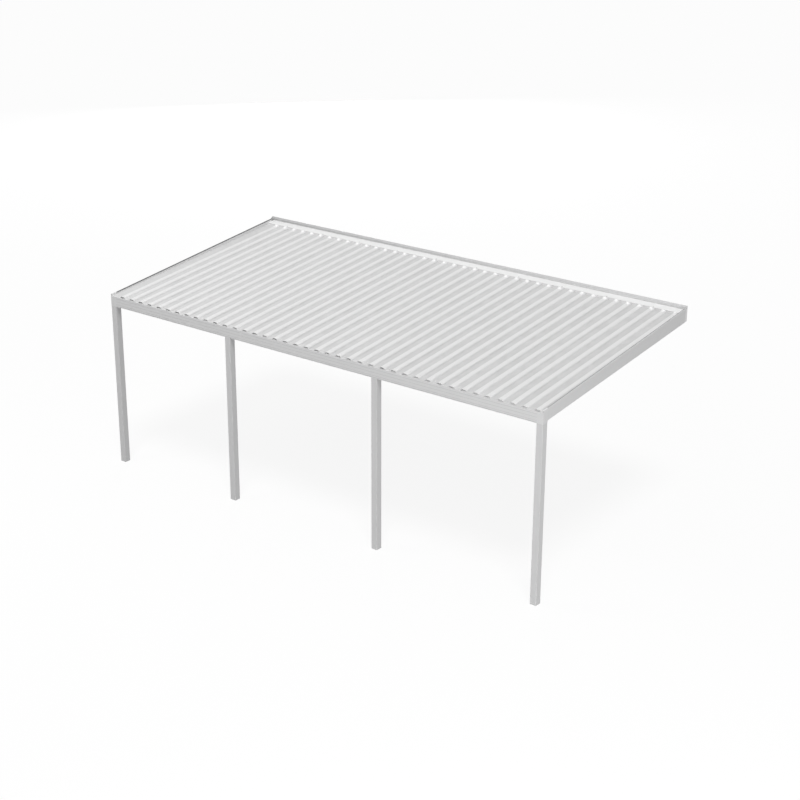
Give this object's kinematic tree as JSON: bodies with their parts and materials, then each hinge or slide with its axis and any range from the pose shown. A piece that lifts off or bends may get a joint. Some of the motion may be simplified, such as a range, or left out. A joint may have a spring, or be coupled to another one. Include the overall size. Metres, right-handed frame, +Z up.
{
  "type": "attached patio cover",
  "caption": "Wall-attached patio cover: ribbed white metal roof pans between a wall hanger and a grooved front beam on square posts, with channel fascias at the sides.",
  "frame": {"origin": "centre of the wall hanger's flat back face, which is fixed to the house wall; the ground is 2.450 m below it", "axes": "+X along the wall to the cover's right seen from the front, +Y from the cover's front into the wall, +Z up"},
  "size_m": [6.213, 2.97, 2.5416],
  "materials": {
    "roof_pan": "satin white baked enamel",
    "beam": "satin white powder coat",
    "corner_cap": "satin white powder coat",
    "fascia": "satin white powder coat",
    "post": "satin white powder coat",
    "hanger": "satin white powder coat",
    "flashing": "satin white baked enamel",
    "closure": "matt white foam",
    "side_seal": "matt grey sponge rubber"
  },
  "bodies": {
    "root": {"post_1": "post", "post_2": "post", "post_3": "post", "post_4": "post", "front_beam": "beam", "front_corner_cap_left": "corner_cap", "front_corner_cap_right": "corner_cap", "side_fascia_left": "fascia", "side_fascia_right": "fascia", "side_seal_left": "side_seal", "side_seal_right": "side_seal", "wall_hanger": "hanger", "hanger_end_cap_left": "hanger", "hanger_end_cap_right": "hanger", "rear_flashing": "flashing", "rear_closure_strip": "closure", "roof_pan_01": "roof_pan", "roof_pan_02": "roof_pan", "roof_pan_03": "roof_pan", "roof_pan_04": "roof_pan", "roof_pan_05": "roof_pan", "roof_pan_06": "roof_pan", "roof_pan_07": "roof_pan", "roof_pan_08": "roof_pan", "roof_pan_09": "roof_pan", "roof_pan_10": "roof_pan", "roof_pan_11": "roof_pan", "roof_pan_12": "roof_pan", "roof_pan_13": "roof_pan", "roof_pan_14": "roof_pan", "roof_pan_15": "roof_pan", "roof_pan_16": "roof_pan", "roof_pan_17": "roof_pan", "roof_pan_18": "roof_pan", "roof_pan_19": "roof_pan", "roof_pan_20": "roof_pan"}
  },
  "joints": []
}
